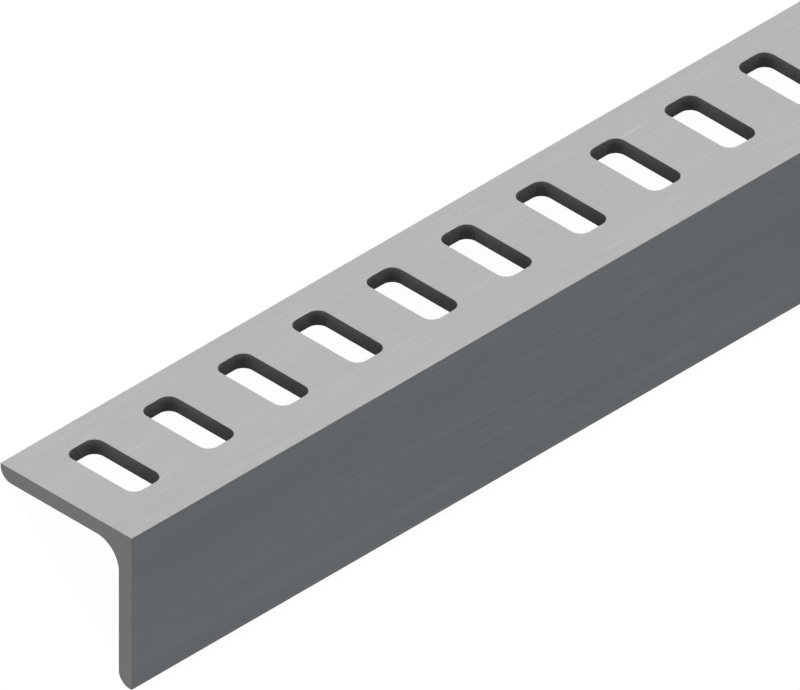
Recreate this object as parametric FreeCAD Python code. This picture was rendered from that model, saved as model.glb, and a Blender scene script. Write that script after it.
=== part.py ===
import FreeCAD, Part

import math
import os

from FreeCAD import Vector

# Equal-leg rolled steel angle with one row of punched slots
#
# One leg carries a row of rounded slots that lie across the profile, and the other leg is plain.
# The section is the standard rolled one: a square heel, a root radius inside the corner and a
# smaller radius on the inner edge of each toe.
#
# Lengths are in millimetres. X runs along the profile, with the end that the slot row is measured
# from at plus X. The profile lies as it rests on a floor, heel up and standing on both toes, so
# each leg slopes at 45 degrees: the slotted leg falls towards minus Y and the plain leg towards
# plus Y. The origin is on the floor, under the heel and halfway along the length.

# Rolled section
leg_width = 30.0
thickness = 3.0
root_radius = 5.0
toe_radius = 2.5

# Stock length
stock_length = 1000.0

# Slots, with their length across the leg and their width along the profile
slot_length = 16.0
slot_width = 7.0
slot_corner_radius = 2.0

# Slot row
slot_pitch = 17.0
end_distance = 12.5  # from the end at plus X to the middle of the first slot
back_mark = 16.5  # from the heel to the middle of each slot

# Least straight edge that is left beside a rounded corner
least_flat = 0.1
# How far the punch passes each face of the leg
punch_overrun = 1.0

roll_to_rest = 45.0
origin = Vector(0, 0, 0)
along_profile = Vector(1, 0, 0)


def rounded_outline(corners):
    """Closed wire through the corners, given as (point, radius), with tangent arcs where radius > 0."""
    entries = []
    for index, (point, radius) in enumerate(corners):
        to_last = (corners[index - 1][0] - point).normalize()
        to_next = (corners[(index + 1) % len(corners)][0] - point).normalize()
        half_angle = to_last.getAngle(to_next) / 2
        cut_back = radius / math.tan(half_angle)
        inward = (to_last + to_next).normalize()
        middle = point + inward * (radius / math.sin(half_angle) - radius)
        entries.append((point + to_last * cut_back, middle, point + to_next * cut_back, radius))

    edges = []
    for index, (start, middle, end, radius) in enumerate(entries):
        if radius > 0:
            edges.append(Part.Arc(start, middle, end).toShape())
        next_start = entries[(index + 1) % len(entries)][0]
        edges.append(Part.makeLine(end, next_start))
    return Part.Wire(edges)


def rolled_section(x):
    """Face of the section at x, with the slotted leg level and the plain leg hanging from the heel."""
    toe_arc = min(toe_radius, thickness - least_flat)
    corners = [
        (Vector(x, 0, 0), 0),
        (Vector(x, -leg_width, 0), 0),
        (Vector(x, -leg_width, -thickness), toe_arc),
        (Vector(x, -thickness, -thickness), root_radius),
        (Vector(x, -thickness, -leg_width), toe_arc),
        (Vector(x, 0, -leg_width), 0),
    ]
    return Part.Face(rounded_outline(corners))


def slot_punch(x):
    """Prism that punches one slot through the level leg, centred at x."""
    half_width = slot_width / 2
    half_length = slot_length / 2
    corner = min(slot_corner_radius, half_width - least_flat)
    corners = [
        (Vector(x + side_x * half_width, side_y * half_length - back_mark, punch_overrun), corner)
        for side_x, side_y in ((-1, -1), (1, -1), (1, 1), (-1, 1))
    ]
    outline = Part.Face(rounded_outline(corners))
    return outline.extrude(Vector(0, 0, -(thickness + 2 * punch_overrun)))


def slot_places():
    """X of each slot's middle. The row keeps at least the end distance at both ends."""
    row_length = stock_length - 2 * end_distance
    count = int(row_length / slot_pitch + 1e-6) + 1
    first = stock_length / 2 - end_distance
    return [first - number * slot_pitch for number in range(count)]


def angle_profile():
    bar = rolled_section(-stock_length / 2).extrude(along_profile * stock_length)
    slotted = bar.cut(Part.Compound([slot_punch(x) for x in slot_places()]))
    profile = slotted.Solids[0]

    # Roll the heel to the top, then lift the bar until its rounded toes stand on the floor
    profile.rotate(origin, along_profile, roll_to_rest)
    toe_arc = min(toe_radius, thickness - least_flat)
    toe_centre_drop = (leg_width + thickness - 2 * toe_arc) * math.sin(math.radians(45))
    profile.translate(Vector(0, 0, toe_centre_drop + toe_arc))
    return profile


os.makedirs("parts", exist_ok=True)
profile = angle_profile()
profile.exportStep("parts/angle_profile.step")
box = profile.BoundBox
print(f"{len(slot_places())} slots, volume {profile.Volume:.1f} mm3, valid {profile.isValid()}")
print(f"X {box.XMin:.3f} to {box.XMax:.3f}")
print(f"Y {box.YMin:.3f} to {box.YMax:.3f}")
print(f"Z {box.ZMin:.3f} to {box.ZMax:.3f}")
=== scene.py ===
import math

import bmesh
import bpy
from mathutils import Matrix, Vector


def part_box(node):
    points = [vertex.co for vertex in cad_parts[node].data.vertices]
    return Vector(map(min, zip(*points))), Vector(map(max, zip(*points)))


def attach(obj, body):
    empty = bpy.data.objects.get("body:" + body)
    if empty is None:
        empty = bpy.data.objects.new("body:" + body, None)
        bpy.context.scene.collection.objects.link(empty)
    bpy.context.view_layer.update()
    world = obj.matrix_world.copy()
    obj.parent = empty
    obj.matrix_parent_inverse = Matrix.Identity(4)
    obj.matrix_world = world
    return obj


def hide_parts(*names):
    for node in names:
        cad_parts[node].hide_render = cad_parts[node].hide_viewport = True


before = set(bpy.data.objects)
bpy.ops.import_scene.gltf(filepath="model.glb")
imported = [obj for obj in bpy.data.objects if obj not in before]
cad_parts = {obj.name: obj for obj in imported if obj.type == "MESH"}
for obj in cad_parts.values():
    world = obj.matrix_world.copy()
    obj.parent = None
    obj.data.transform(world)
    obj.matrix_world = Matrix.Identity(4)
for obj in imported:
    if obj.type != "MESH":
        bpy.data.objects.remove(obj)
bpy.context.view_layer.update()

mm = 0.001
tiny = 1e-6              # sizes in millimetres that differ by less are the same
barLow, barHigh = (Vector(corner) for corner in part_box("angle_profile"))
barLength = (barHigh.x - barLow.x) / mm
print("frame loaded, bar length", round(barLength, 3), "mm")


# The rolled section, in millimetres. Out runs from the heel along the slotted leg, up is square to it.
rolledSection = {
    "legWidth": 30.0,
    "thickness": 3.0,
    "rootRadius": 5.0,
    "toeRadius": 2.5,
    "edgeBreak": 0.11,      # worn corner at the heel and the outside of each toe
    "endBreak": 0.09,       # light deburr round the cut ends
    "rootSteps": 24,
    "toeSteps": 16,
    "breakSteps": 3,
}

# The punched row, in millimetres. The slot lies across the leg.
slotRow = {
    "length": 16.0,
    "width": 7.0,
    "corner": 2.0,
    "pitch": 17.0,
    "fromEnd": 12.5,        # from the bar's end to the middle of the first slot
    "fromHeel": 16.5,       # from the heel to the middle of each slot
    "band": 0.4,            # flat kept past the slot ends, so that the slots stay in a strip of their own
    "cornerSteps": 12,
    "rollOver": 0.09,       # edge drawn in where the punch enters
    "rollSteps": 3,
    "sheared": 1.1,         # where the smooth part of the wall ends, below the outer face
    "tearStart": 0.25,      # depth over which the smooth part turns into the torn one
    "breakOut": 0.035,      # depth of the break-out at the inner face
    # How much the slot has widened where the torn part and the break-out start, and at the inner face
    "tornWider": (0.01575, 0.028, 0.049),
}


# Each point is (out, up, normal out, normal up)
def arc(centreOut, centreUp, radius, startDeg, endDeg, steps, hollow=False):
    side = -1 if hollow else 1
    points = []
    for step in range(steps + 1):
        angle = math.radians(startDeg + (endDeg - startDeg) * step / steps)
        towardsOut, towardsUp = math.cos(angle), math.sin(angle)
        points.append((centreOut + radius * towardsOut, centreUp + radius * towardsUp,
                       side * towardsOut, side * towardsUp))
    return points


def slotBand():
    reach = slotRow["length"] / 2 + slotRow["band"]
    return slotRow["fromHeel"] - reach, slotRow["fromHeel"] + reach


# Round the section from the heel over the slotted leg, with the slot strip's borders as points
def sectionPoints():
    leg, wall = rolledSection["legWidth"], rolledSection["thickness"]
    root, toe = rolledSection["rootRadius"], rolledSection["toeRadius"]
    worn = rolledSection["edgeBreak"]
    rootSteps, toeSteps = rolledSection["rootSteps"], rolledSection["toeSteps"]
    wornSteps = rolledSection["breakSteps"]
    bandHeel, bandToe = slotBand()
    points = arc(worn, -worn, worn, 180, 90, wornSteps)
    points += [(bandHeel, 0, 0, 1), (bandToe, 0, 0, 1)]
    points += arc(leg - worn, -worn, worn, 90, 0, wornSteps)
    points += arc(leg - toe, toe - wall, toe, 0, -90, toeSteps)
    points += [(bandToe, -wall, 0, -1), (bandHeel, -wall, 0, -1)]
    points += arc(wall + root, -wall - root, root, 90, 180, rootSteps, hollow=True)
    points += arc(wall - toe, toe - leg, toe, 0, -90, toeSteps)
    points += arc(worn, worn - leg, worn, -90, -180, wornSteps)
    return points


def slotCentres():
    count = int((barLength - 2 * slotRow["fromEnd"]) / slotRow["pitch"] + tiny) + 1
    return [slotRow["fromEnd"] + number * slotRow["pitch"] for number in range(count)]


# One slot's outline, grown by the given amount, with the point of the cell's border that each faces.
# The third number of an outline point is 0 on the straight walls and 1 in the middle of a corner; it
# weights the painted shade in the corners.
def slotOutline(grown):
    halfWidth, halfLength, corner = slotRow["width"] / 2, slotRow["length"] / 2, slotRow["corner"]
    cellHalf, bandHalf = slotRow["pitch"] / 2, halfLength + slotRow["band"]
    flatAlong, flatOut = halfWidth - corner, halfLength - corner
    steps = slotRow["cornerSteps"]
    outline, border = [], []
    for quarter, (sideAlong, sideOut) in enumerate(((1, 1), (-1, 1), (-1, -1), (1, -1))):
        for step in range(steps + 1):
            angle = math.radians(90 * (quarter + step / steps))
            outline.append((sideAlong * flatAlong + (corner + grown) * math.cos(angle),
                            sideOut * flatOut + (corner + grown) * math.sin(angle),
                            math.sin(math.pi * step / steps)))
            # The share is 0 on the cell's side, 1 in the cell's corner and 2 on the band's edge
            share = 2 * (step if quarter % 2 == 0 else steps - step) / steps
            if share <= 1:
                border.append((sideAlong * cellHalf, sideOut * (flatOut + (bandHalf - flatOut) * share)))
            else:
                along = cellHalf + (flatAlong - cellHalf) * (share - 1)
                border.append((sideAlong * along, sideOut * bandHalf))
    return outline, border


# How deep each ring of the slot's wall lies below the outer face, and how far it is grown
def slotWallRings():
    rolled, steps = slotRow["rollOver"], slotRow["rollSteps"]
    sheared, wall = slotRow["sheared"], rolledSection["thickness"]
    tornTop, tornLow, tornInner = slotRow["tornWider"]
    rings = []
    for step in range(steps + 1):
        angle = math.radians(90 * step / steps)
        rings.append((rolled * (1 - math.cos(angle)), rolled * (1 - math.sin(angle))))
    rings += [(sheared, 0.0), (sheared + slotRow["tearStart"], tornTop),
              (wall - slotRow["breakOut"], tornLow), (wall, tornInner)]
    return rings


# Material numbers of the bar's faces
faceFinish = {"rolled": 0, "cut": 1, "punched": 2}
# Points that agree to this many decimals of a millimetre are one point
weldDigits = 4


def buildBar():
    bm = bmesh.new()
    inCorner = bm.verts.layers.float.new("inCorner")      # read by the punched walls' material, for its painted shade in the corners
    made = {}

    def vert(along, out, up):
        key = tuple(round(value, weldDigits) for value in (along, out, up))
        if key not in made:
            made[key] = bm.verts.new(key)
        return made[key]

    def face(corners, finish="rolled"):
        newFace = bm.faces.new(corners)
        newFace.material_index = faceFinish[finish]
        newFace.smooth = True

    section = sectionPoints()
    bandHeel, bandToe = slotBand()
    wall = rolledSection["thickness"]
    centres = slotCentres()
    cellHalf = slotRow["pitch"] / 2
    endBreak, breakSteps = rolledSection["endBreak"], rolledSection["breakSteps"]
    stations = [endBreak] + [centre - cellHalf for centre in centres]
    stations += [centres[-1] + cellHalf, barLength - endBreak]
    _, border = slotOutline(0)
    bandHalf = bandToe - slotRow["fromHeel"]
    acrossBand = sorted({round(along, weldDigits) for along, out in border if out > bandHalf - tiny})
    alongSide = sorted({round(out, weldDigits) for along, out in border if along > cellHalf - tiny})

    # Lengthwise faces between stations. In the slot strip only the two ends get theirs here.
    for number in range(len(stations) - 1):
        start, end = stations[number], stations[number + 1]
        slotted = 0 < number < len(stations) - 2
        middle = (start + end) / 2
        for index, (out, up, _, _) in enumerate(section):
            nextOut, nextUp = section[(index + 1) % len(section)][:2]
            if {out, nextOut} == {bandHeel, bandToe}:
                if not slotted:
                    sides = [slotRow["fromHeel"] + side for side in alongSide]
                    joined = end if number == 0 else start
                    free = start if number == 0 else end
                    face([vert(joined, side, up) for side in sides]
                         + [vert(free, bandToe, up), vert(free, bandHeel, up)])
                continue
            lowEdge = [vert(start, out, up), vert(end, out, up)]
            highEdge = [vert(end, nextOut, nextUp), vert(start, nextOut, nextUp)]
            if slotted and out in (bandHeel, bandToe):
                lowEdge = [vert(middle + along, out, up) for along in acrossBand]
            if slotted and nextOut in (bandHeel, bandToe):
                highEdge = [vert(middle + along, nextOut, nextUp) for along in reversed(acrossBand)]
            face(lowEdge + highEdge)

    # Each slot: the flat round it on both faces, and its wall
    rings = slotWallRings()
    outlines = [slotOutline(grown)[0] for _, grown in rings]
    count = len(border)
    for centre in centres:
        loops = []
        for (depth, _), outline in zip(rings, outlines):
            loops.append([vert(centre + along, slotRow["fromHeel"] + out, -depth)
                          for along, out, _ in outline])
            for point, (_, _, bend) in zip(loops[-1], outline):
                point[inCorner] = bend
        for loop, level in ((loops[0], 0), (loops[-1], -wall)):
            edge = [vert(centre + along, slotRow["fromHeel"] + out, level) for along, out in border]
            for index in range(count):
                after = (index + 1) % count
                face([loop[index], loop[after], edge[after], edge[index]])
        for ring, (upper, lower) in enumerate(zip(loops, loops[1:])):
            finish = "rolled" if ring < slotRow["rollSteps"] else "punched"
            for index in range(count):
                after = (index + 1) % count
                face([upper[index], upper[after], lower[after], lower[index]], finish)

    # Deburred rim and cut face at both ends
    for base, direction in ((0.0, 1), (barLength, -1)):
        rims = []
        for step in range(breakSteps + 1):
            angle = math.radians(90 * step / breakSteps)
            along = base + direction * endBreak * (1 - math.sin(angle))
            inset = endBreak * (1 - math.cos(angle))
            rims.append([vert(along, out - normalOut * inset, up - normalUp * inset)
                         for out, up, normalOut, normalUp in section])
        for outer, inner in zip(rims, rims[1:]):
            for index in range(len(section)):
                after = (index + 1) % len(section)
                face([outer[index], outer[after], inner[after], inner[index]])
        face(rims[-1], "cut")

    bmesh.ops.recalc_face_normals(bm, faces=bm.faces)
    return bm


# From the section's own axes to the pose on the floor: heel up, both toes down, slots to the front
rollToRest = math.radians(-45)
barPose = (Matrix.Translation((barHigh.x, 0, barHigh.z))
           @ Matrix.Rotation(math.pi, 4, "Z")
           @ Matrix.Rotation(rollToRest, 4, "X")
           @ Matrix.Scale(mm, 4))
sectionAxes = barPose.to_3x3().normalized()


# Gives a node's input its value, which is a number, a colour or another node's output
def feed(tree, socket, value):
    if isinstance(value, bpy.types.NodeSocket):
        tree.links.new(value, socket)
    else:
        socket.default_value = value


def nodeIn(tree, kind, place, **values):
    node = tree.nodes.new(kind)
    node.location = place
    for name, value in values.items():
        feed(tree, node.inputs[name], value)
    return node


def mathIn(tree, operation, place, *terms):
    node = nodeIn(tree, "ShaderNodeMath", place)
    node.operation = operation
    for socket, term in zip(node.inputs, terms):
        feed(tree, socket, term)
    return node.outputs["Value"]


# Stretches what lies between one pair of ends to another pair
def rangeIn(tree, value, place, fromEnds=(0, 1), toEnds=(0, 1), smooth=False):
    node = nodeIn(tree, "ShaderNodeMapRange", place, Value=value)
    for name, level in zip(("From Min", "From Max", "To Min", "To Max"), (*fromEnds, *toEnds)):
        node.inputs[name].default_value = level
    if smooth:
        node.interpolation_type = "SMOOTHSTEP"
    return node.outputs["Result"]


# Object coordinates turned to the section's axes, in metres: along, across the leg, through the leg
def sectionCoords(tree, place):
    x, y = place
    coords = nodeIn(tree, "ShaderNodeTexCoord", place)
    turned = nodeIn(tree, "ShaderNodeMapping", (x + 180, y),
                    Vector=coords.outputs["Object"], Rotation=(rollToRest, 0, 0))
    return turned.outputs["Vector"]


finerShare = 0.55           # how much each finer layer of a mark's noise counts


# One kind of mark: noise stretched to its shape, where only what lies over the edge values shows
def markMask(tree, coords, mark, place):
    x, y = place
    stretched = nodeIn(tree, "ShaderNodeMapping", place, Vector=coords,
                       Scale=mark["perMetre"], Rotation=mark.get("turn", (0, 0, 0)))
    noise = nodeIn(tree, "ShaderNodeTexNoise", (x + 200, y), Vector=stretched.outputs["Vector"],
                   Scale=1.0, Detail=mark["detail"], Roughness=finerShare)
    return rangeIn(tree, noise.outputs["Fac"], (x + 400, y), fromEnds=mark["edge"], smooth=True)


# Saw marks: arcs of a large blade, cut across the end
def sawArcs(tree, coords, saw, place):
    x, y = place
    centred = nodeIn(tree, "ShaderNodeMapping", place, Vector=coords, Location=saw["centre"])
    rings = nodeIn(tree, "ShaderNodeTexWave", (x + 200, y), Vector=centred.outputs["Vector"],
                   Scale=saw["perMetre"], Distortion=saw["wander"], Detail=saw["detail"])
    rings.wave_type = "RINGS"
    rings.rings_direction = "X"
    return rings.outputs["Fac"]


# Brighter where the punch sheared and darker where the metal tore off below; part of that darkening with
# depth is painted shade. It also paints shade in the corners and towards the slot's end at the heel.
def punchedToneAndPaintedShade(tree, coords, look, grain, place):
    x, y = place
    parts = nodeIn(tree, "ShaderNodeSeparateXYZ", place, Vector=coords)
    outerFace = barHigh.z * math.cos(rollToRest)
    innerFace = outerFace - rolledSection["thickness"] * mm
    depth = rangeIn(tree, parts.outputs["Z"], (x + 200, y), fromEnds=(outerFace, innerFace))
    uneven = mathIn(tree, "MULTIPLY_ADD", (x + 400, y), grain, look["unevenTear"], depth)
    shade = nodeIn(tree, "ShaderNodeValToRGB", (x + 600, y), Fac=uneven)
    ramp = shade.color_ramp
    while len(ramp.elements) < len(look["byDepth"]):
        ramp.elements.new(0.5)
    for element, (at, level) in zip(ramp.elements, look["byDepth"]):
        element.position = at
        element.color = (level, level, level * look["blueness"], 1)

    # Painted shade, darker towards the slot's end at the heel
    heelLine = barHigh.z * math.sin(-rollToRest)
    slotEnd = heelLine - (slotRow["fromHeel"] - slotRow["length"] / 2) * mm
    paintedHeelShade = rangeIn(tree, parts.outputs["Y"], (x + 500, y + 520), toEnds=(0, look["paintedHeelShade"]),
                        fromEnds=(slotEnd - look["heelReach"] * mm, slotEnd))
    # Painted shade in the slot's corners, weighted by inCorner
    corner = nodeIn(tree, "ShaderNodeAttribute", (x + 500, y + 260))
    corner.attribute_name = "inCorner"
    share = mathIn(tree, "MULTIPLY_ADD", (x + 700, y + 260), corner.outputs["Fac"],
                   look["paintedCornerShade"], paintedHeelShade)
    darker = nodeIn(tree, "ShaderNodeMixRGB", (x + 900, y), Fac=share,
                    Color1=shade.outputs["Color"], Color2=(0, 0, 0, 1))
    return darker.outputs["Color"]


def steelFinish(name, look):
    material = bpy.data.materials.new(name)
    material.use_nodes = True
    tree = material.node_tree
    coords = sectionCoords(tree, (-2300, 0))

    layers = []
    for row, mark in enumerate(look["marks"]):
        layers.append((mark, markMask(tree, coords, mark, (-1800, 600 - 320 * row))))
    firstMask = layers[0][1]
    if "saw" in look:
        layers.append((look["saw"], sawArcs(tree, coords, look["saw"], (-1800, 1000))))

    # The ground colour, then each layer of marks over it, in colour and in height
    if "byDepth" in look:
        colour = punchedToneAndPaintedShade(tree, coords, look, firstMask, (-1800, 1400))
    else:
        colour = (*look["ground"], 1)
    height = 0.5            # of the bare ground, so that marks can rise and sink
    for row, (layer, mask) in enumerate(layers):
        x = -900 + 160 * row
        share = mathIn(tree, "MULTIPLY", (x, 600), mask, layer["share"])
        mix = nodeIn(tree, "ShaderNodeMixRGB", (x, 400), Fac=share, Color1=colour,
                     Color2=(*layer["colour"], 1))
        colour = mix.outputs["Color"]
        height = mathIn(tree, "MULTIPLY_ADD", (x, -400), mask, layer["rise"], height)

    relief = nodeIn(tree, "ShaderNodeBump", (-200, -300), Height=height, Strength=look["relief"],
                    Distance=look["reliefDepth"] * mm)
    finish = {
        "Base Color": colour,
        "Roughness": rangeIn(tree, firstMask, (-340, -80), toEnds=look["roughness"]),
        "Normal": relief.outputs["Normal"],
        "Metallic": look["metallic"],
        "Specular IOR Level": look["specular"],
    }
    steel = tree.nodes["Principled BSDF"]
    for socket, value in finish.items():
        feed(tree, steel.inputs[socket], value)
    return material


# Mill-finish steel, as it left the rolls
rolledSteel = {
    "ground": (0.489, 0.489, 0.49),
    "metallic": 0.06,
    "specular": 0.3,
    "roughness": (0.62, 0.5),
    "relief": 0.3,
    "reliefDepth": 0.03,
    "marks": [
        {   # broad bands left by the rolls
            "perMetre": (5, 330, 330), "detail": 4.0, "edge": (0.35, 0.65),
            "colour": (0.457, 0.458, 0.461), "share": 0.5, "rise": -0.1,
        },
        {   # fine rolling lines
            "perMetre": (22, 2400, 2400), "detail": 3.0, "edge": (0.4, 0.7),
            "colour": (0.535, 0.536, 0.538), "share": 0.45, "rise": 0.35,
        },
        {   # clouds in the oxide
            "perMetre": (48, 85, 85), "detail": 5.0, "edge": (0.42, 0.66),
            "colour": (0.465, 0.466, 0.47), "share": 0.5, "rise": 0.0,
        },
        {   # pits
            "perMetre": (1300, 1500, 1500), "detail": 1.0, "edge": (0.7, 0.76),
            "colour": (0.36, 0.362, 0.366), "share": 0.5, "rise": -0.9,
        },
        {   # handling scratches, a little off the bar's line
            "perMetre": (60, 5200, 5200), "turn": (0, 0, math.radians(4)),
            "detail": 0.0, "edge": (0.7, 0.76),
            "colour": (0.62, 0.62, 0.62), "share": 0.5, "rise": -0.6,
        },
    ],
}

# Sawn ends
cutSteel = {
    "ground": (0.475, 0.474, 0.473),
    "metallic": 0.06,
    "specular": 0.3,
    "roughness": (0.55, 0.42),
    "relief": 0.35,
    "reliefDepth": 0.04,
    "saw": {
        "centre": (0.0, 0.05, 0.11), "perMetre": 520.0, "wander": 1.5, "detail": 2.0,
        "colour": (0.53, 0.53, 0.53), "share": 0.35, "rise": 0.5,
    },
    "marks": [
        {   # smeared grain
            "perMetre": (700, 700, 1900), "detail": 4.0, "edge": (0.35, 0.65),
            "colour": (0.44, 0.44, 0.442), "share": 0.5, "rise": 0.2,
        },
        {   # bright specks
            "perMetre": (2600, 2600, 2600), "detail": 1.0, "edge": (0.62, 0.72),
            "colour": (0.58, 0.58, 0.58), "share": 0.4, "rise": 0.3,
        },
    ],
}

# Punched walls. Each pair of byDepth is a share of the leg's thickness and the grey there. The grey is
# darker than the rolled faces and falls with depth, partly for the sheared and torn parts and partly as
# painted shade.
punchedSteel = {
    "byDepth": [(0.0, 0.42), (0.3, 0.385), (0.44, 0.33), (0.85, 0.27), (1.0, 0.19)],
    "blueness": 1.01,
    "unevenTear": 0.08,     # how far the first marks shift the depths
    "paintedCornerShade": 0.3,     # how much painted shade darkens the middle of a corner
    "paintedHeelShade": 0.5,       # how much painted shade darkens the slot's end at the heel
    "heelReach": 11.0,      # millimetres from that end over which the painted shade fades
    "metallic": 0.04,
    "specular": 0.08,
    "roughness": (0.7, 0.5),
    "relief": 0.4,
    "reliefDepth": 0.05,
    "marks": [
        {   # scoring down the wall
            "perMetre": (2600, 2600, 160), "detail": 3.0, "edge": (0.35, 0.65),
            "colour": (0.22, 0.22, 0.222), "share": 0.25, "rise": 0.4,
        },
        {   # torn grain
            "perMetre": (1500, 1500, 1100), "detail": 4.0, "edge": (0.45, 0.65),
            "colour": (0.2, 0.2, 0.202), "share": 0.2, "rise": -0.3,
        },
    ],
}

mesh = bpy.data.meshes.new("slottedAngle")
barMesh = buildBar()
bmesh.ops.transform(barMesh, matrix=barPose, verts=barMesh.verts)
barMesh.to_mesh(mesh)
print("bar meshed:", len(mesh.polygons), "faces,", len(slotCentres()), "slots")
openEdges = sum(1 for edge in barMesh.edges if not edge.is_manifold)
print("open edges:", openEdges, "volume mm3:", round(barMesh.calc_volume() / mm ** 3, 1))
barMesh.free()

bar = bpy.data.objects.new("slottedAngle", mesh)
bpy.context.scene.collection.objects.link(bar)
for name, look in (("rolledSteel", rolledSteel), ("cutSteel", cutSteel), ("punchedSteel", punchedSteel)):
    mesh.materials.append(steelFinish(name, look))
evenShading = bar.modifiers.new("evenShading", "WEIGHTED_NORMAL")
evenShading.keep_sharp = True
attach(bar, "root")
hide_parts("angle_profile")
print("bar finished in steel")


# Pale floor and surround. They show white, and the floor keeps the bar's shadow.
# Lamp directions are in the section's axes: along the bar, out along the slotted leg, up from it.
studio = {
    "floorSize": 12.0,
    "floorColour": (0.45, 0.45, 0.45),
    "floorGlow": 0.9,
    "whiteLevel": 1.085,
    "skyLight": (0.06, 0.06, 0.06),
    "keyLight": {"from": (-0.06, -0.05, 1.0), "strength": 2.54, "colour": (1, 1, 1), "size": 9.0},
    "fillLight": {"from": (0.0, -1.0, 0.06), "strength": 0.12, "colour": (0.2, 0.68, 1.0), "size": 30.0},
}


# 1 where the ray is one that looks at the surround: from the camera, a gloss or through glass
def lookingRay(tree, place):
    x, y = place
    path = nodeIn(tree, "ShaderNodeLightPath", place)
    camera, glossy = path.outputs["Is Camera Ray"], path.outputs["Is Glossy Ray"]
    seen = mathIn(tree, "MAXIMUM", (x + 200, y), camera, glossy)
    return mathIn(tree, "MAXIMUM", (x + 400, y), seen, path.outputs["Is Transmission Ray"])


def mixShaders(tree, share, first, second, place):
    mix = nodeIn(tree, "ShaderNodeMixShader", place, Fac=share)
    tree.links.new(first, mix.inputs[1])
    tree.links.new(second, mix.inputs[2])
    return mix.outputs["Shader"]


def floorFinish():
    material = bpy.data.materials.new("paleFloor")
    material.use_nodes = True
    tree = material.node_tree
    tree.nodes.remove(tree.nodes["Principled BSDF"])
    matte = nodeIn(tree, "ShaderNodeBsdfDiffuse", (-200, -120), Color=(*studio["floorColour"], 1))
    white = nodeIn(tree, "ShaderNodeEmission", (-200, 60),
                   Color=(1, 1, 1, 1), Strength=studio["whiteLevel"])
    share = mathIn(tree, "MULTIPLY", (-200, 240), lookingRay(tree, (-820, 240)), studio["floorGlow"])
    surface = mixShaders(tree, share, matte.outputs["BSDF"], white.outputs["Emission"], (40, 60))
    tree.links.new(surface, tree.nodes["Material Output"].inputs["Surface"])
    return material


def layFloor():
    half = studio["floorSize"] / 2
    corners = [(-half, -half, 0), (half, -half, 0), (half, half, 0), (-half, half, 0)]
    floorMesh = bpy.data.meshes.new("floor")
    floorMesh.from_pydata(corners, [], [(0, 1, 2, 3)])
    floorMesh.materials.append(floorFinish())
    floor = bpy.data.objects.new("floor", floorMesh)
    bpy.context.scene.collection.objects.link(floor)


def lightSky():
    world = bpy.data.worlds.new("studio")
    bpy.context.scene.world = world
    world.use_nodes = True
    tree = world.node_tree
    tree.nodes.clear()
    soft = nodeIn(tree, "ShaderNodeBackground", (-200, -100), Color=(*studio["skyLight"], 1))
    white = nodeIn(tree, "ShaderNodeBackground", (-200, 60), Color=(1, 1, 1, 1))
    surface = mixShaders(tree, lookingRay(tree, (-820, 200)), soft.outputs["Background"],
                         white.outputs["Background"], (40, 0))
    nodeIn(tree, "ShaderNodeOutputWorld", (240, 0), Surface=surface)


def hangSun(name):
    sunFacts = studio[name]
    lamp = bpy.data.lights.new(name, "SUN")
    lamp.energy = sunFacts["strength"]
    lamp.color = sunFacts["colour"]
    lamp.angle = math.radians(sunFacts["size"])
    sun = bpy.data.objects.new(name, lamp)
    sun.rotation_euler = (sectionAxes @ Vector(sunFacts["from"])).to_track_quat("Z", "Y").to_euler()
    bpy.context.scene.collection.objects.link(sun)


layFloor()
lightSky()
hangSun("keyLight")
hangSun("fillLight")
print("floor, surround and lamps set")


# The picture looks along a cube's diagonal of the section's axes, with no perspective
picture = {
    "width": 800,
    "height": 690,
    "pixelsPerMm": 6.195,
    "heelCornerAt": (131.66, 538.56),    # pixel of the near end's outer heel corner
    "distance": 1.5,                     # metres from the picture's middle to the camera
}


def placeCamera():
    scale = picture["pixelsPerMm"] / mm
    back = sectionAxes @ Vector((-1, -1, 1)).normalized()
    right = sectionAxes @ Vector((1, -1, 0)).normalized()
    up = back.cross(right)
    cornerX, cornerY = picture["heelCornerAt"]
    middle = (barPose.translation
              + right * (picture["width"] / 2 - cornerX) / scale
              + up * (cornerY - picture["height"] / 2) / scale)
    lens = bpy.data.cameras.new("camera")
    lens.type = "ORTHO"
    lens.ortho_scale = picture["width"] / scale
    camera = bpy.data.objects.new("camera", lens)
    turn = Matrix((right, up, back)).transposed().to_4x4()
    camera.matrix_world = Matrix.Translation(middle + back * picture["distance"]) @ turn
    bpy.context.scene.collection.objects.link(camera)
    bpy.context.scene.camera = camera


placeCamera()
bpy.context.scene.view_settings.view_transform = "Standard"
print("camera placed")
